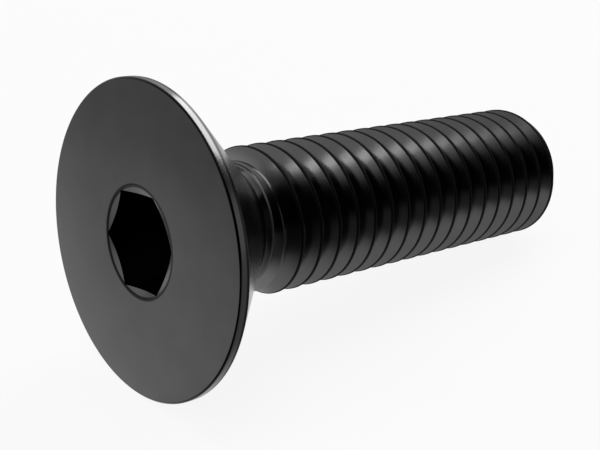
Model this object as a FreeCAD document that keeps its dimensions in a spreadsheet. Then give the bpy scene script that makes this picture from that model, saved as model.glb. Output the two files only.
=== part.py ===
import FreeCAD, Part
import os

import Sketcher

# A countersunk screw with a hexagon socket in its flat head, metric M5 by 18, in millimetres.
# The thread is as wide as the usual 6g tolerance lets it be.
# It is one solid: a turned blank, a socket sunk in the head and a thread cut on the shank.
# In the screw's own body the axis is X, from the flat of the head to the tip. The body is then
# laid on its side, so that the rim of the head and the last crest of the thread rest on Z = 0.

NODE = "screw"
PARTS_FOLDER = "parts"

# The driving dimensions. Angles are in degrees. The head angle and the mouth, drill and thread
# angles are whole included angles, the shoulder angle is measured from the axis, and the two
# turns are about the axis, from the top of the laid screw towards -Y for the thread cutter and
# from +Y for the first corner of the socket.
SIZES = {
    "overall_length": 18.0,
    "head_diameter": 10.0,
    "head_angle": 90.0,
    "land_height": 0.3,
    "rim_break": 0.05,
    "neck_diameter": 3.85,
    "neck_length": 0.345,
    "neck_rounding": 0.2,
    "shoulder_angle": 51.0,
    "thread_diameter": 4.97,
    "thread_pitch": 0.8,
    "thread_angle": 60.0,
    "depth_per_pitch": 0.6134,
    "crest_per_pitch": 0.125,
    "thread_turn": -158.0,
    "tip_chamfer": 0.55,
    "socket_flats": 3.0,
    "socket_depth": 2.2,
    "socket_turn": 49.8,
    "mouth_diameter": 3.5,
    "mouth_angle": 140.0,
    "drill_diameter": 2.85,
    "drill_angle": 120.0,
}

# Places and lengths that follow from the driving dimensions, as expressions on the cells.
HEAD_RADIUS = "(Sizes.head_diameter / 2)"
NECK_RADIUS = "(Sizes.neck_diameter / 2)"
THREAD_RADIUS = "(Sizes.thread_diameter / 2)"
CONE_LENGTH = f"({HEAD_RADIUS} - {NECK_RADIUS}) / tan(Sizes.head_angle * 1 deg / 2)"
SHOULDER_LENGTH = f"({THREAD_RADIUS} - {NECK_RADIUS}) / tan(Sizes.shoulder_angle * 1 deg)"
NECK_START = f"(Sizes.land_height + {CONE_LENGTH})"
NECK_END = f"({NECK_START} + Sizes.neck_length)"
NECK_MIDDLE = f"({NECK_START} + Sizes.neck_length / 2)"
CHAMFER_START = "(Sizes.overall_length - Sizes.tip_chamfer)"
TIP_RADIUS = f"({THREAD_RADIUS} - Sizes.tip_chamfer)"
THREAD_DEPTH = "(Sizes.thread_pitch * Sizes.depth_per_pitch)"
CREST_WIDTH = "(Sizes.thread_pitch * Sizes.crest_per_pitch)"
FLANK_SLOPE = "tan(Sizes.thread_angle * 1 deg / 2)"
ROOT_WIDTH = f"(Sizes.thread_pitch - {CREST_WIDTH} - 2 * {THREAD_DEPTH} * {FLANK_SLOPE})"
CUTTER_OVERRUN = f"({CREST_WIDTH} / 2)"
CUTTER_WIDTH = f"({ROOT_WIDTH} + 2 * ({THREAD_DEPTH} + {CUTTER_OVERRUN}) * {FLANK_SLOPE})"

doc = FreeCAD.newDocument("countersunk_screw")


def make_sheet():
    """Keep each driving dimension in a cell of its own, named by its alias."""
    cells = doc.addObject("Spreadsheet::Sheet", "Sizes")
    for row, (alias, size) in enumerate(SIZES.items(), start=1):
        cells.set(f"A{row}", alias)
        cells.set(f"B{row}", str(size))
        cells.setAlias(f"B{row}", alias)
    doc.recompute()
    return cells


sheet = make_sheet()


def value(expression):
    """Work out an expression on the cells as a plain number."""
    result = sheet.evalExpression(expression)
    return float(getattr(result, "Value", result))


def new_sketch(body, name, role):
    """An empty sketch on one of the body's own origin planes."""
    plane = next(item for item in body.Origin.OriginFeatures if item.Role == role)
    sketch = body.newObject("Sketcher::SketchObject", name)
    sketch.AttachmentSupport = (plane, [""])
    sketch.MapMode = "FlatFace"
    doc.recompute()
    return sketch


def hold_corner(sketch, corner, kind, place):
    """Hold a corner on an axis of the sketch, or at a distance from it that an expression gives."""
    if place == "0":
        axis = -2 if kind == "DistanceX" else -1
        sketch.addConstraint(Sketcher.Constraint("PointOnObject", corner, 1, axis))
        return
    index = sketch.addConstraint(Sketcher.Constraint(kind, -1, 1, corner, 1, value(place)))
    name = f"{kind[-1].lower()}_of_corner_{corner}"
    sketch.renameConstraint(index, name)
    sketch.setExpression(f"Constraints.{name}", place)


def outline_sketch(body, name, role, corners):
    """A closed outline of straight lines, whose corners are pairs of expressions."""
    sketch = new_sketch(body, name, role)
    points = [FreeCAD.Vector(value(x), value(y), 0) for x, y in corners]
    following = [*range(1, len(points)), 0]
    for line, end in enumerate(following):
        sketch.addGeometry(Part.LineSegment(points[line], points[end]), False)
    for line, end in enumerate(following):
        sketch.addConstraint(Sketcher.Constraint("Coincident", line, 2, end, 1))
    for corner, (x, y) in enumerate(corners):
        hold_corner(sketch, corner, "DistanceX", x)
        hold_corner(sketch, corner, "DistanceY", y)
    doc.recompute()
    return sketch


def turned_feature(body, kind, name, corners):
    """Turn half a section about the screw's axis: a Revolution adds and a Groove takes away."""
    sketch = outline_sketch(body, f"{name}_section", "XZ_Plane", corners)
    feature = body.newObject(f"PartDesign::{kind}", name)
    feature.Profile = sketch
    feature.ReferenceAxis = (sketch, ["H_Axis"])
    feature.Angle = 360
    doc.recompute()
    return feature


def blank_outline():
    """Half the section of the blank, from the flat of the head round to the tip."""
    return [
        ("0", "0"),
        ("0", f"{HEAD_RADIUS} - Sizes.rim_break"),
        ("Sizes.rim_break", HEAD_RADIUS),
        ("Sizes.land_height", HEAD_RADIUS),
        (NECK_START, NECK_RADIUS),
        (NECK_END, NECK_RADIUS),
        (f"{NECK_END} + {SHOULDER_LENGTH}", THREAD_RADIUS),
        (CHAMFER_START, THREAD_RADIUS),
        ("Sizes.overall_length", TIP_RADIUS),
        ("Sizes.overall_length", "0"),
    ]


def cone_outline(base, radius, angle):
    """Half the section of a cone on the axis that narrows towards the tip of the screw."""
    apex = f"{base} + {radius} / tan({angle} * 1 deg / 2)"
    return [(base, "0"), (base, radius), (apex, "0")]


def hexagon_outline():
    """The six corners of the socket, turned about the axis."""
    radius = "Sizes.socket_flats / sqrt(3)"
    angles = [f"((Sizes.socket_turn + 60 * {corner}) * 1 deg)" for corner in range(6)]
    return [(f"{radius} * cos{angle}", f"{radius} * sin{angle}") for angle in angles]


def cutter_outline():
    """The section that the thread cutter sweeps, drawn where it stands clear in the neck."""
    root = f"{THREAD_RADIUS} - {THREAD_DEPTH}"
    top = f"{THREAD_RADIUS} + {CUTTER_OVERRUN}"
    return [
        (f"{NECK_MIDDLE} - {ROOT_WIDTH} / 2", root),
        (f"{NECK_MIDDLE} + {ROOT_WIDTH} / 2", root),
        (f"{NECK_MIDDLE} + {CUTTER_WIDTH} / 2", top),
        (f"{NECK_MIDDLE} - {CUTTER_WIDTH} / 2", top),
    ]


def round_edge(shape, along, radius):
    """The name of the edge that goes round the axis at a place along it, with a given radius."""
    for index, edge in enumerate(shape.Edges, start=1):
        if isinstance(edge.Curve, Part.Circle):
            place = FreeCAD.Vector(along, 0, 0)
            if edge.Curve.Center.isEqual(place, 1e-6) and abs(edge.Curve.Radius - radius) < 1e-6:
                return f"Edge{index}"
    raise ValueError(f"the blank has no edge of radius {radius} at {along}")


def round_neck(body, blank):
    """Round the inner corners where the neck meets the cone of the head and the shoulder."""
    corners = [
        round_edge(blank.Shape, value(place), value(NECK_RADIUS)) for place in (NECK_START, NECK_END)
    ]
    rounding = body.newObject("PartDesign::Fillet", "neck_corners")
    rounding.Base = (blank, corners)
    rounding.setExpression("Radius", "Sizes.neck_rounding")
    doc.recompute()


def sink_socket(body):
    """Sink the hexagon into the head, with a drilled point below it and a coned mouth."""
    socket = body.newObject("PartDesign::Pocket", "socket")
    socket.Profile = outline_sketch(body, "socket_hexagon", "YZ_Plane", hexagon_outline())
    socket.setExpression("Length", "Sizes.socket_depth")
    socket.Reversed = True
    doc.recompute()
    drill = ("Sizes.socket_depth", "(Sizes.drill_diameter / 2)", "Sizes.drill_angle")
    turned_feature(body, "Groove", "drill_point", cone_outline(*drill))
    mouth = ("0", "(Sizes.mouth_diameter / 2)", "Sizes.mouth_angle")
    turned_feature(body, "Groove", "socket_mouth", cone_outline(*mouth))


def cut_thread(body):
    """Cut the right-hand thread, from where the cutter stands clear in the neck past the tip."""
    sketch = outline_sketch(body, "cutter_section", "XZ_Plane", cutter_outline())
    along = FreeCAD.Rotation(FreeCAD.Vector(1, 0, 0), 0)
    sketch.AttachmentOffset = FreeCAD.Placement(FreeCAD.Vector(), along)
    sketch.setExpression("AttachmentOffset.Rotation.Angle", "Sizes.thread_turn * 1 deg")
    thread = body.newObject("PartDesign::SubtractiveHelix", "thread")
    thread.Profile = sketch
    thread.ReferenceAxis = (sketch, ["H_Axis"])
    thread.Mode = "pitch-height-angle"
    thread.setExpression("Pitch", "Sizes.thread_pitch")
    thread.setExpression("Height", f"Sizes.overall_length + Sizes.thread_pitch - {NECK_MIDDLE}")
    doc.recompute()


def lay_down(body):
    """Lay the screw on its rim and its last crest, whole or cut by the chamfer, with the middle
    of its box over the origin."""
    groove_below = f"{NECK_MIDDLE} + Sizes.thread_pitch * (180 - Sizes.thread_turn) / 360"
    crest_below = f"({groove_below} - (Sizes.thread_pitch - {CREST_WIDTH}) / 2)"
    crests_on = f"floor(({CHAMFER_START} - {crest_below}) / Sizes.thread_pitch)"
    last_crest = f"({crest_below} + {crests_on} * Sizes.thread_pitch)"
    next_crest = f"({last_crest} + Sizes.thread_pitch - {CREST_WIDTH})"
    cut_crest = f"max({next_crest}; {CHAMFER_START})"
    drop = f"({HEAD_RADIUS} - {THREAD_RADIUS})"
    slope = f"{drop} / ({last_crest} - Sizes.land_height)"
    cut_slope = f"({drop} + {cut_crest} - {CHAMFER_START}) / ({cut_crest} - Sizes.land_height)"
    tilt = f"atan(min({slope}; {cut_slope}))"
    face_reach = f"({HEAD_RADIUS} - Sizes.rim_break) * sin({tilt})"
    tip_reach = f"(Sizes.overall_length * cos({tilt}) + {TIP_RADIUS} * sin({tilt}))"
    across = FreeCAD.Rotation(FreeCAD.Vector(0, 1, 0), 0)
    body.Placement = FreeCAD.Placement(FreeCAD.Vector(), across)
    body.setExpression("Placement.Rotation.Angle", tilt)
    body.setExpression("Placement.Base.x", f"({face_reach} - {tip_reach}) / 2")
    body.setExpression(
        "Placement.Base.z", f"Sizes.land_height * sin({tilt}) + {HEAD_RADIUS} * cos({tilt})")
    doc.recompute()


def make_screw():
    """Turn the blank, round its neck, sink its socket, cut its thread and lay it down."""
    body = doc.addObject("PartDesign::Body", NODE)
    blank = turned_feature(body, "Revolution", "blank", blank_outline())
    round_neck(body, blank)
    sink_socket(body)
    cut_thread(body)
    lay_down(body)
    return body


def check_soundness(body):
    """Stop if a feature failed, a cut took nothing away or the screw isn't one sound solid."""
    for item in doc.Objects:
        if "Invalid" in item.State or "Error" in item.State:
            raise RuntimeError(f"{item.Name} failed: {item.State}")
    volumes = {item.Name: item.Shape.Volume for item in body.Group if hasattr(item, "AddSubShape")}
    order = ("blank", "socket", "drill_point", "socket_mouth", "thread")
    for before, after in zip(order, order[1:]):
        if volumes[after] >= volumes[before]:
            raise RuntimeError(f"{after} takes nothing away")
    if body.Shape.isNull() or not body.Shape.isValid() or len(body.Shape.Solids) != 1:
        raise RuntimeError("the screw isn't one valid solid")


screw = make_screw()
check_soundness(screw)
os.makedirs(PARTS_FOLDER, exist_ok=True)
screw.Shape.exportStep(f"{PARTS_FOLDER}/{NODE}.step")
print(f"{NODE}: {screw.Shape.Volume:.2f} mm3, tilt {screw.Placement.Rotation.Angle:.5f} rad")
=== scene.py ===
import math

import bmesh
import bpy
import numpy as np
from bpy.props import FloatProperty, FloatVectorProperty, IntProperty, PointerProperty
from mathutils import Matrix, Vector


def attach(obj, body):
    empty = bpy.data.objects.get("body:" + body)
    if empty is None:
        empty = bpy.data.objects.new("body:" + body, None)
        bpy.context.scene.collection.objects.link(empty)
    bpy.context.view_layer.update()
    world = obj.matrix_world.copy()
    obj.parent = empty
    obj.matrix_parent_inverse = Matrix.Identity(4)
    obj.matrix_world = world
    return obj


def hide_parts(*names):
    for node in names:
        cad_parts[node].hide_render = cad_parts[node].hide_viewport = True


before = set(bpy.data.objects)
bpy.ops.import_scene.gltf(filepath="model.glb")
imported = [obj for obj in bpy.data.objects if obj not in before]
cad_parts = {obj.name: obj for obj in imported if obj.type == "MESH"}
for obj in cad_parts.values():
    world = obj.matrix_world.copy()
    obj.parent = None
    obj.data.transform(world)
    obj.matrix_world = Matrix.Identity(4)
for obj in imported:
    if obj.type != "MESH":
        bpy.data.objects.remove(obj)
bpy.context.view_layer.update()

# A countersunk socket screw, laid on the rim of its head and its last crest of thread.
# Lengths are in metres. "Along" is measured on the screw's own axis, from the flat of the head
# to the tip, and "turn" round that axis, from the top of the laid screw towards -Y.

bl_info = {
    "name": "Countersunk Socket Screw",
    "version": (1, 0, 0),
    "blender": (4, 5, 0),
    "location": "View3D > Sidebar > Screw",
    "description": "Builds a black countersunk socket screw on a pale studio floor",
    "category": "Add Mesh",
}

MM = 0.001
MERGE = 1e-7  # points nearer than this are one point
SHARP = math.radians(32)  # edges steeper than this stay crisp
GRAIN_HEIGHT = 0.01 * MM

# Past a line on the camera's side, the floor that the metal sees is dark. The line slopes across
# X, and is level with it before the bend.
FLOOR_LINE_BEND = -9.0 * MM
FLOOR_LINE_START = -1.5 * MM
FLOOR_LINE_SLOPE = 0.44
FLOOR_GLOW = 0.9  # how much of the floor that the camera sees is plain white, with no shadow

# Name, place, what it is aimed at, width in metres and power in watts
LAMPS = (
    ("top_lamp", (0.0, 0.02, 0.30), (0.0, 0.0, 0.0), 0.19, 0.27),
    ("left_lamp", (-0.20, 0.04, 0.195), (0.0, 0.0, 0.004), 0.06, 0.042),
    ("right_lamp", (0.228, 0.06, 0.186), (0.0, 0.0, 0.004), 0.26, 0.49),
)


def length(name, description, default):
    """A length in metres, shown to a hundredth of a millimetre."""
    return FloatProperty(
        name=name, description=description, default=default, min=0.0,
        precision=5, step=0.01, subtype="DISTANCE", unit="LENGTH")


def angle(name, description, degrees):
    """An angle, written in degrees."""
    return FloatProperty(
        name=name, description=description, default=math.radians(degrees),
        subtype="ANGLE", unit="ROTATION")


def amount(name, description, default):
    """A plain number from 0 to 1."""
    return FloatProperty(name=name, description=description, default=default, min=0.0, max=1.0)


def colour(name, description, default):
    """A linear colour."""
    return FloatVectorProperty(
        name=name, description=description, default=default, size=3,
        min=0.0, max=1.0, subtype="COLOR")


class ScrewSizes(bpy.types.PropertyGroup):
    """The screw's own dimensions."""

    overall_length: length("Length", "From the flat of the head to the tip", 18.0 * MM)
    head_diameter: length("Head diameter", "Across the land of the head", 10.0 * MM)
    head_angle: angle("Head angle", "Included angle of the cone under the head", 90.0)
    land_height: length("Land", "Height of the straight rim of the head", 0.3 * MM)
    rim_break: length("Rim break", "Bevel between the flat of the head and its land", 0.05 * MM)
    edge_rounding: length("Edge rounding", "Radius left on the turned edges", 0.02 * MM)
    neck_diameter: length("Neck diameter", "Across the waist behind the head", 3.85 * MM)
    neck_length: length("Neck length", "Straight part of the waist", 0.345 * MM)
    neck_rounding: length("Neck rounding", "Radius at both ends of the waist", 0.2 * MM)
    shoulder_angle: angle("Shoulder angle", "Slope from the waist up to the thread", 51.0)
    thread_diameter: length("Thread diameter", "Across the crests", 4.97 * MM)
    thread_pitch: length("Pitch", "From one crest to the next", 0.8 * MM)
    thread_depth: length("Thread depth", "From the crests down to the roots", 0.49072 * MM)
    thread_angle: angle("Thread angle", "Included angle of the groove", 60.0)
    thread_turn: angle("Thread turn", "Turn at which the groove lies mid-neck", -158.0)
    crest_width: length("Crest width", "Flat left between two grooves", 0.1 * MM)
    crest_rounding: length("Crest rounding", "Radius on both edges of a crest", 0.035 * MM)
    root_rounding: length("Root rounding", "Radius in the bottom of the groove", 0.1 * MM)
    tip_chamfer: length("Tip chamfer", "Length of the 45 degree chamfer", 0.55 * MM)
    socket_flats: length("Socket", "Across the flats of the socket", 3.0 * MM)
    socket_depth: length("Socket depth", "From the flat of the head to the seat", 2.2 * MM)
    socket_turn: angle("Socket turn", "Angle of one corner of the socket from +Y", 49.8)
    mouth_diameter: length("Mouth diameter", "Across the coned mouth of the socket", 3.5 * MM)
    mouth_angle: angle("Mouth angle", "Included angle of the coned mouth", 140.0)
    drill_diameter: length("Drill diameter", "Across the drilled point", 2.85 * MM)
    drill_angle: angle("Drill angle", "Included angle of the drilled point", 120.0)
    columns: IntProperty(
        name="Columns", description="Faces round the screw, a multiple of six",
        default=180, min=24, step=6)


class ScrewFinish(bpy.types.PropertyGroup):
    """The oxide skin on the steel."""

    oxide: colour("Oxide", "Colour of the black oxide", (0.092, 0.092, 0.093))
    thick_oxide: colour("Thick oxide", "Colour where the oxide is thickest", (0.085, 0.085, 0.087))
    # Painted shade: this colour stands in for shade on the crests, along the edges of the rim and
    # socket mouth, and in the neck.
    painted_shade: colour(
        "Edge oxide", "Colour on the crests, the edges and in the neck", (0.008, 0.008, 0.009))
    # Painted highlight: this lighter colour stands in for highlights on the land, the end of the
    # neck and the shoulder.
    painted_highlight: colour("Rubbed oxide", "Colour where the land is rubbed", (0.32, 0.32, 0.32))
    roughness: amount("Roughness", "Roughness of the oiled oxide", 0.22)
    grain: amount("Grain", "Strength of the fine grain", 0.08)


class StudioSettings(bpy.types.PropertyGroup):
    """Floor, lamps and camera."""

    camera_place: FloatVectorProperty(
        name="Camera place", description="Where the camera stands", size=3,
        default=(-0.024574, -0.026049, 0.020506), subtype="TRANSLATION", unit="LENGTH")
    camera_down: angle("Look down", "The camera's slope below the horizon", 26.349)
    camera_round: angle("Look round", "The camera's heading from +Y towards +X", 40.601)
    lens: FloatProperty(name="Lens", description="Focal length", default=67.255, unit="CAMERA")
    floor_width: length("Floor width", "Side of the square floor", 3.0)
    floor_colour: colour("Floor", "Colour of the floor", (0.9, 0.9, 0.9))


# Outlines


def rounded(corners, steps=3):
    """A line through corners given as (along, radius, rounding), each rounded in steps."""
    line = []
    for index, (along, radius, rounding) in enumerate(corners):
        here = Vector((along, radius))
        if not rounding:
            line.append(here)
            continue
        back = (Vector(corners[index - 1][:2]) - here).normalized()
        on = (Vector(corners[index + 1][:2]) - here).normalized()
        half = back.angle(on) / 2
        middle = here + (back + on).normalized() * (rounding / math.sin(half))
        reach = rounding / math.tan(half)
        start, end = here + back * reach - middle, here + on * reach - middle
        for step in range(steps + 1):
            line.append(middle + start.lerp(end, step / steps).normalized() * rounding)
    return line


def neck_start(size):
    """Where the cone of the head meets the neck."""
    fall = (size.head_diameter - size.neck_diameter) / 2
    return size.land_height + fall / math.tan(size.head_angle / 2)


def head_line(size):
    """Section of the head and neck, from the flat's edge to the top of the shoulder, which
    stands proud of the crests by the width of one."""
    head, neck = size.head_diameter / 2, size.neck_diameter / 2
    shoulder = neck_start(size) + size.neck_length
    rise = size.thread_diameter / 2 + size.crest_width - neck
    return rounded([
        (0.0, head - 3 * size.rim_break, 0.0),
        (0.0, head - size.rim_break, size.edge_rounding),
        (size.rim_break, head, size.edge_rounding),
        (size.land_height, head, size.edge_rounding),
        (neck_start(size), neck, size.neck_rounding),
        (shoulder, neck, size.neck_rounding),
        (shoulder + rise / math.tan(size.shoulder_angle), neck + rise, 0.0),
    ])


def tip_line(size):
    """Section of the tip, from the top of its chamfer, as proud as the shoulder, to its middle."""
    chamfer = size.tip_chamfer + size.crest_width
    end = size.thread_diameter / 2 - size.tip_chamfer
    return rounded([
        (size.overall_length - chamfer, end + chamfer, 0.0),
        (size.overall_length, end, size.edge_rounding),
        (size.overall_length, 0.0, 0.0),
    ])


def groove_line(size):
    """Section of one pitch of thread, measured from the middle of its groove."""
    crest = size.thread_diameter / 2
    root = crest - size.thread_depth
    groove = (size.thread_pitch - size.crest_width) / 2
    floor = groove - size.thread_depth * math.tan(size.thread_angle / 2)
    flat = groove + size.crest_width
    return rounded([
        (-flat, crest, 0.0),
        (-groove, crest, size.crest_rounding),
        (-floor, root, size.root_rounding),
        (floor, root, size.root_rounding),
        (groove, crest, size.crest_rounding),
        (flat, crest, 0.0),
    ])[1:-1]


def resting_place(size):
    """Where the middle of the laid screw's flat is, and how far the screw leans from level."""
    head, crest = size.head_diameter / 2, size.thread_diameter / 2
    pitch, chamfer = size.thread_pitch, size.overall_length - size.tip_chamfer
    neck_middle = neck_start(size) + size.neck_length / 2
    below = neck_middle + pitch * (math.pi - size.thread_turn) / math.tau
    crest_below = below - (pitch - size.crest_width) / 2
    last_crest = crest_below + (chamfer - crest_below) // pitch * pitch
    cut_crest = max(last_crest + pitch - size.crest_width, chamfer)
    drop = head - crest
    tilt = math.atan(min(
        drop / (last_crest - size.land_height),
        (drop + cut_crest - chamfer) / (cut_crest - size.land_height)))
    face_reach = (head - size.rim_break) * math.sin(tilt)
    tip_reach = size.overall_length * math.cos(tilt) + (crest - size.tip_chamfer) * math.sin(tilt)
    height = size.land_height * math.sin(tilt) + head * math.cos(tilt)
    return Vector(((face_reach - tip_reach) / 2, 0.0, height)), tilt


# The screw's surface


class Surface:
    """Rings of points round the axis. Each ring has one point for each turn."""

    def __init__(self, size):
        self.size = size
        self.turns = size.socket_turn - math.pi / 2 + np.linspace(0, math.tau, size.columns + 1)
        self.rings = []

    def ring(self, along, radius):
        """Add a ring, whose place and radius are numbers or change from turn to turn."""
        self.rings.append(np.array(np.broadcast_arrays(along, radius, self.turns)[:2]))

    def add_socket(self):
        """The drilled point, the seat, the six walls and the coned mouth."""
        size = self.size
        drill, mouth, edge = size.drill_diameter / 2, size.mouth_diameter / 2, size.edge_rounding
        from_flat = (self.turns - self.turns[0]) % (math.pi / 3) - math.pi / 6
        wall = size.socket_flats / 2 / np.cos(from_flat)
        steepness = 1 / math.tan(size.mouth_angle / 2)
        self.ring(size.socket_depth + drill / math.tan(size.drill_angle / 2), 0.0)
        self.ring(size.socket_depth, drill)
        self.ring(size.socket_depth, wall)
        self.ring((mouth - wall) * steepness, wall)
        lip = rounded([
            (edge * steepness, mouth - edge, 0.0), (0.0, mouth, edge), (0.0, mouth + edge, 0.0)])
        for point in lip[1:-1]:
            self.ring(*point)

    def add_outside(self):
        """The head, neck, shank and tip. Behind the middle of the neck the surface is that of
        the turned blank, or of the groove that winds along it where the groove lies deeper."""
        size, pitch = self.size, self.size.thread_pitch
        head, tip = head_line(size)[1:], tip_line(size)
        blank = np.array(head + tip[:-1])
        groove = np.array(groove_line(size))
        neck_middle = neck_start(size) + size.neck_length / 2
        winding = neck_middle + pitch * (self.turns - size.thread_turn) / math.tau

        def turned(along):
            return np.interp(along, *blank.T)

        def cut(along):
            return np.interp(along - winding, *groove.T, period=pitch)

        for along, radius in head[:-1]:
            self.ring(along, radius if along < neck_middle else np.minimum(radius, cut(along)))
        turns_on = math.ceil((size.overall_length - neck_middle) / pitch)
        starts = winding + pitch * np.arange(-2, turns_on + 1)[:, None, None]
        lines = (starts + groove[:, :1]).reshape(-1, len(self.turns))
        crossings = crossing_points(lines[:-1], lines[1:], lambda along: cut(along) - turned(along))
        for line, crossing in zip(lines, crossings):
            for along in (line, crossing):
                kept = np.clip(along, head[-2][0], tip[1][0])
                self.ring(kept, np.minimum(turned(kept), cut(kept)))
        for point in tip[1:]:
            self.ring(*point)

    def mesh(self, name, place, tilt):
        """Close the rings into a mesh, without the faces that have shrunk to nothing."""
        rings = np.array(self.rings)
        moved = np.abs(np.diff(rings, axis=0)).max(axis=(1, 2)) > MERGE
        along, radius = rings[np.append(True, moved)].transpose(1, 0, 2)
        points = np.stack([along, -radius * np.sin(self.turns), radius * np.cos(self.turns)], -1)
        count, width = along.shape
        first = (np.arange(count - 1)[:, None] * width + np.arange(width - 1)).ravel()
        quads = np.stack([first, first + width, first + width + 1, first + 1], -1)
        mesh = bpy.data.meshes.new(name)
        mesh.from_pydata(points.reshape(-1, 3).tolist(), [], quads.tolist())
        work = bmesh.new()
        work.from_mesh(mesh)
        bmesh.ops.remove_doubles(work, verts=work.verts, dist=MERGE)
        bmesh.ops.dissolve_degenerate(work, edges=work.edges, dist=MERGE)
        bmesh.ops.recalc_face_normals(work, faces=work.faces)
        laid = Matrix.Translation(place) @ Matrix.Rotation(tilt, 4, "Y")
        bmesh.ops.transform(work, matrix=laid, verts=work.verts)
        work.to_mesh(mesh)
        work.free()
        mesh.shade_smooth()
        mesh.set_sharp_from_angle(angle=SHARP)
        return mesh


def crossing_points(low, high, difference, halvings=24):
    """The places between low and high where a difference changes its sign, or low if it doesn't."""
    start, sign = low, np.sign(difference(low))
    changes = sign * np.sign(difference(high)) < 0
    for _ in range(halvings):
        middle = (low + high) / 2
        same = np.sign(difference(middle)) == sign
        low, high = np.where(same, middle, low), np.where(same, high, middle)
    return np.where(changes, low, start)


# Shader maths


class Wire:
    """One output of a node. Python's operators on it add Math nodes."""

    def __init__(self, bench, socket):
        self.bench = bench
        self.socket = socket

    def math(self, operation, *values):
        """A Math node on these values, in order."""
        sockets = dict(enumerate(values))
        return self.bench.add("ShaderNodeMath", {"operation": operation}, sockets)["Value"]

    def __add__(self, other):
        return self.math("ADD", self, other)

    def __radd__(self, other):
        return self.math("ADD", other, self)

    def __sub__(self, other):
        return self.math("SUBTRACT", self, other)

    def __rsub__(self, other):
        return self.math("SUBTRACT", other, self)

    def __mul__(self, other):
        return self.math("MULTIPLY", self, other)

    def __rmul__(self, other):
        return self.math("MULTIPLY", other, self)


class Outputs:
    """The outputs of one node, by name."""

    def __init__(self, bench, node):
        self.bench = bench
        self.node = node

    def __getitem__(self, name):
        return Wire(self.bench, find_socket(self.node.outputs, name))


def find_socket(sockets, name):
    """A socket by its number, or the one in use that has the name."""
    if isinstance(name, int):
        return sockets[name]
    return next(socket for socket in sockets if socket.enabled and socket.name == name)


class Bench:
    """Adds nodes to an empty node tree."""

    def __init__(self, tree):
        self.tree = tree
        tree.nodes.clear()

    def add(self, kind, settings, sockets):
        """A node of this type, with its settings first and then its sockets' values or links."""
        node = self.tree.nodes.new(kind)
        for name, value in settings.items():
            setattr(node, name, value)
        for name, value in sockets.items():
            socket = find_socket(node.inputs, name)
            if isinstance(value, Wire):
                self.tree.links.new(value.socket, socket)
            else:
                socket.default_value = value
        return Outputs(self, node)

    def mix(self, share, first, second):
        """A colour between two others."""
        return self.add("ShaderNodeMix", {"data_type": "RGBA"}, {
            "Factor": share, "A": opaque(first), "B": opaque(second)})["Result"]

    def distance(self, place):
        """How far a place is from the origin."""
        return self.add("ShaderNodeVectorMath", {"operation": "LENGTH"}, {0: place})["Value"]

    def towards(self, direction, other):
        """How far a direction points along another."""
        return self.add("ShaderNodeVectorMath", {"operation": "DOT_PRODUCT"}, {
            0: direction, 1: other})["Value"]

    def noise(self, place, scale, detail):
        """Smooth noise about one half."""
        return self.add("ShaderNodeTexNoise", {}, {
            "Vector": place, "Scale": scale, "Detail": detail})["Fac"]

    def band(self, value, middle, reach):
        """A soft band, 1 at its middle and 0 past its reach."""
        return self.step(value, middle - reach, middle - reach / 2) * self.step(
            value, middle + reach, middle + reach / 2)

    def step(self, value, start, end):
        """A soft step from 0 at the start to 1 at the end."""
        return self.add("ShaderNodeMapRange", {"interpolation_type": "SMOOTHSTEP"}, {
            "Value": value, "From Min": start, "From Max": end})["Result"]


def grey(level):
    """A neutral colour."""
    return (level, level, level)


def opaque(shade):
    """A colour that a socket takes: a wire as it is, or three numbers with full alpha."""
    return shade if isinstance(shade, Wire) else (*shade, 1.0)


# Materials


def shade_and_highlight_places(bench, size, along, radius):
    """How far the skin is on the rim, under painted shade, under painted highlight and matt, from
    its place along the axis and out from it. Every width is in millimetres."""
    crest = size.thread_diameter / 2 / MM
    rim = size.head_diameter / 2 / MM
    land = size.land_height / MM
    mouth = size.mouth_diameter / 2 / MM
    neck = neck_start(size) / MM
    shoulder = neck + size.neck_length / MM

    on_rim = bench.step(radius, rim - 0.08, rim - 0.05)
    on_land = bench.step(radius, rim - 0.03, rim - 0.01)
    on_shank = bench.step(along, neck - 0.4, neck - 0.2)
    crests = bench.step(radius, crest - 0.045, crest - 0.015) * on_shank
    flat_edge = bench.band(along, 0.0, 0.05)
    land_edge = bench.band(along, land - 0.03, 0.08)
    mouth_edge = bench.band(radius, mouth, 0.08) * bench.step(along, 0.06, 0.02)
    past_cone = bench.step(along, neck - 0.7, neck - 0.1)
    in_neck = past_cone * bench.step(along, shoulder - 0.02, shoulder - 0.08)
    neck_end = bench.band(along, shoulder - 0.02, 0.04)
    past_neck = bench.step(along, shoulder, shoulder + 0.06)
    on_shoulder = past_neck * bench.step(along, shoulder + 0.45, shoulder + 0.25)

    # Painted shade on the crests, on the rim's edges, round the socket's mouth and in the neck;
    # painted highlight on the land, at the end of the neck and on the shoulder.
    dark = crests + on_rim * (flat_edge + land_edge * 0.75) + mouth_edge + in_neck * 0.85
    highlighted = on_land + neck_end * 0.5 + on_shoulder * 0.2
    matt = (crests + neck_end) * 0.5
    return on_rim, dark, highlighted, matt


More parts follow.
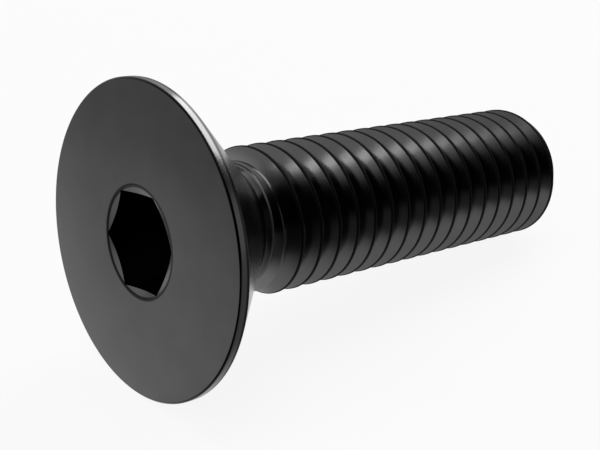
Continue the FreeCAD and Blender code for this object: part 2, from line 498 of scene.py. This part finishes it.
def black_oxide(size, finish):
    """Oiled black oxide on steel, in thick and thin patches with a fine grain. Painted shade makes
    it darkest on the crests, the edges and in the neck, and a painted highlight makes it bright on
    the land, the end of the neck and the shoulder. The pattern is laid out in millimetres on the
    screw's axis."""
    material = bpy.data.materials.new("black_oxide_steel")
    material.use_nodes = True
    bench = Bench(material.node_tree)
    place, tilt = resting_place(size)
    row = bench.add("ShaderNodeTexCoord", {}, {})["Object"]
    spot = bench.add("ShaderNodeMapping", {"vector_type": "TEXTURE"}, {
        "Vector": row, "Location": place, "Rotation": (0.0, tilt, 0.0),
        "Scale": (MM, MM, MM)})["Vector"]
    off_axis = bench.add("ShaderNodeVectorMath", {"operation": "MULTIPLY"}, {
        0: spot, 1: (0.0, 1.0, 1.0)})["Vector"]
    along = bench.add("ShaderNodeSeparateXYZ", {}, {"Vector": spot})["X"]
    patches = bench.step(bench.noise(spot, 0.9, 4.0), 0.35, 0.65)
    grain = bench.noise(spot, 14.0, 3.0) - 0.5
    on_rim, dark, highlighted, matt = shade_and_highlight_places(bench, size, along, bench.distance(off_axis))

    shade = bench.mix(patches, finish.thick_oxide, finish.oxide)
    # Painted highlight, then painted shade, laid over the oxide's own patches.
    shade = bench.mix(highlighted, shade, finish.painted_highlight)
    shade = bench.mix(dark, shade, finish.painted_shade)
    roughness = finish.roughness + (patches - 0.5) * 0.03 + grain * 0.05 + matt
    bump = bench.add("ShaderNodeBump", {}, {
        "Strength": finish.grain, "Distance": GRAIN_HEIGHT,
        "Height": grain * (1.0 - on_rim)})["Normal"]
    skin = bench.add("ShaderNodeBsdfPrincipled", {}, {
        "Base Color": shade, "Metallic": 1.0, "Roughness": roughness, "Normal": bump})["BSDF"]
    bench.add("ShaderNodeOutputMaterial", {}, {"Surface": skin})
    return material


def pale_floor(studio):
    """Matt pale card. The camera sees it nearly white, and keeps a part of the object's shadow.
    The metal sees a pool of light round the screw, which ends at a line on the camera's side."""
    material = bpy.data.materials.new("pale_card")
    material.use_nodes = True
    bench = Bench(material.node_tree)
    spot = bench.add("ShaderNodeTexCoord", {}, {})["Object"]
    fibre = bench.noise(spot, 900.0, 3.0)
    dull = [0.985 * part for part in studio.floor_colour]
    card = bench.add("ShaderNodeBsdfPrincipled", {}, {
        "Base Color": bench.mix(fibre, dull, studio.floor_colour), "Roughness": 0.8,
        "Specular IOR Level": 0.1})["BSDF"]
    parts = bench.add("ShaderNodeSeparateXYZ", {}, {"Vector": spot})
    x, y = parts["X"], parts["Y"]
    behind_line = y + (x.math("MAXIMUM", x, FLOOR_LINE_BEND) - FLOOR_LINE_START) * FLOOR_LINE_SLOPE
    pool = bench.mix(bench.step(bench.distance(spot), -0.01, 0.06), grey(1.0), grey(0.43))
    pool = bench.mix(bench.step(behind_line, -0.0095, -0.0035), grey(0.11), pool)
    light_path = bench.add("ShaderNodeLightPath", {}, {})
    seen, mirrored = light_path["Is Camera Ray"], light_path["Is Glossy Ray"]
    white = bench.add("ShaderNodeEmission", {}, {
        "Color": bench.mix(seen, pool, grey(1.0)), "Strength": 1.0})["Emission"]
    mixed = bench.add("ShaderNodeMixShader", {}, {
        "Fac": seen * FLOOR_GLOW + mirrored, 1: card, 2: white})["Shader"]
    bench.add("ShaderNodeOutputMaterial", {}, {"Surface": mixed})
    return material


def studio_world():
    """White all round to the camera. The room that lights the screw is dark on the camera's
    side, has a white wall at its left and behind it, and two small pale screens."""
    world = bpy.data.worlds.new("studio")
    world.use_nodes = True
    bench = Bench(world.node_tree)
    sight = bench.add("ShaderNodeTexCoord", {}, {})["Generated"]
    backward = bench.add("ShaderNodeSeparateXYZ", {}, {"Vector": sight})["Y"]
    left_wall = bench.step(bench.towards(sight, (-0.9, 0.45, -0.3)), 0.10, 0.50)
    wall = left_wall * bench.step(backward, -0.30, -0.03)
    back_screen = bench.step(bench.towards(sight, (0.58, 0.68, 0.44)), 0.86, 0.97)
    side_screen = bench.step(bench.towards(sight, (0.57, -0.81, 0.10)), 0.80, 0.95)
    bright = wall + back_screen * 0.5 + side_screen * 0.18
    room = bench.mix(bright, grey(0.0), grey(0.95))
    seen = bench.add("ShaderNodeLightPath", {}, {})["Is Camera Ray"]
    sky = bench.add("ShaderNodeBackground", {}, {
        "Color": bench.mix(seen, room, grey(1.0)), "Strength": 1.0})["Background"]
    bench.add("ShaderNodeOutputWorld", {}, {"Surface": sky})
    return world


# Operators


class SCREW_OT_add_screw(bpy.types.Operator):
    """Add the screw: one skin over its head, socket, neck, thread and tip"""

    bl_idname = "screw.add_screw"
    bl_label = "Add Screw"

    def execute(self, context):
        size = context.scene.screw_sizes
        surface = Surface(size)
        surface.add_socket()
        surface.add_outside()
        mesh = surface.mesh("socket_screw", *resting_place(size))
        mesh.materials.append(black_oxide(size, context.scene.screw_finish))
        screw = bpy.data.objects.new("socket_screw", mesh)
        context.scene.collection.objects.link(screw)
        even = screw.modifiers.new("even_shading", "WEIGHTED_NORMAL")
        even.keep_sharp = True
        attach(screw, "root")
        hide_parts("screw")
        return {"FINISHED"}


def add_lamp(context, name, place, aim, width, power):
    """A square soft lamp at a place, turned to the point it lights."""
    data = bpy.data.lights.new(name, "AREA")
    data.shape = "SQUARE"
    data.size = width
    data.energy = power
    lamp = bpy.data.objects.new(name, data)
    lamp.location = place
    lamp.rotation_euler = (Vector(aim) - Vector(place)).to_track_quat("-Z", "Y").to_euler()
    context.scene.collection.objects.link(lamp)


class SCREW_OT_add_studio(bpy.types.Operator):
    """Add the pale floor, the lamps, the room and the camera"""

    bl_idname = "screw.add_studio"
    bl_label = "Add Studio"

    def execute(self, context):
        scene, studio = context.scene, context.scene.screw_studio
        half = studio.floor_width / 2
        mesh = bpy.data.meshes.new("floor")
        corners = [(-half, -half, 0.0), (half, -half, 0.0), (half, half, 0.0), (-half, half, 0.0)]
        mesh.from_pydata(corners, [], [(0, 1, 2, 3)])
        mesh.materials.append(pale_floor(studio))
        floor = bpy.data.objects.new("floor", mesh)
        scene.collection.objects.link(floor)

        for lamp in LAMPS:
            add_lamp(context, *lamp)
        scene.world = studio_world()
        scene.view_settings.view_transform = "Standard"

        data = bpy.data.cameras.new("camera")
        data.lens = studio.lens
        data.clip_start, data.clip_end = 0.001, 10.0
        camera = bpy.data.objects.new("camera", data)
        camera.location = studio.camera_place
        camera.rotation_euler = (math.pi / 2 - studio.camera_down, 0.0, -studio.camera_round)
        scene.collection.objects.link(camera)
        scene.camera = camera
        return {"FINISHED"}


class SCREW_PT_sidebar(bpy.types.Panel):
    """Sizes, finish and studio, with a button for each operator"""

    bl_label = "Countersunk Socket Screw"
    bl_space_type = "VIEW_3D"
    bl_region_type = "UI"
    bl_category = "Screw"

    def draw(self, context):
        groups = (
            (SCREW_OT_add_screw, "screw_sizes", ScrewSizes),
            (None, "screw_finish", ScrewFinish),
            (SCREW_OT_add_studio, "screw_studio", StudioSettings),
        )
        for operator, holder, group in groups:
            box = self.layout.box()
            for name in group.__annotations__:
                box.prop(getattr(context.scene, holder), name)
            if operator:
                box.operator(operator.bl_idname)


CLASSES = (
    ScrewSizes, ScrewFinish, StudioSettings,
    SCREW_OT_add_screw, SCREW_OT_add_studio, SCREW_PT_sidebar,
)


def register():
    for cls in CLASSES:
        bpy.utils.register_class(cls)
    bpy.types.Scene.screw_sizes = PointerProperty(type=ScrewSizes)
    bpy.types.Scene.screw_finish = PointerProperty(type=ScrewFinish)
    bpy.types.Scene.screw_studio = PointerProperty(type=StudioSettings)


def unregister():
    del bpy.types.Scene.screw_studio
    del bpy.types.Scene.screw_finish
    del bpy.types.Scene.screw_sizes
    for cls in reversed(CLASSES):
        bpy.utils.unregister_class(cls)


def main():
    """Register the classes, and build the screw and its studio."""
    register()
    bpy.ops.screw.add_screw()
    bpy.ops.screw.add_studio()


if __name__ == "__main__":
    main()
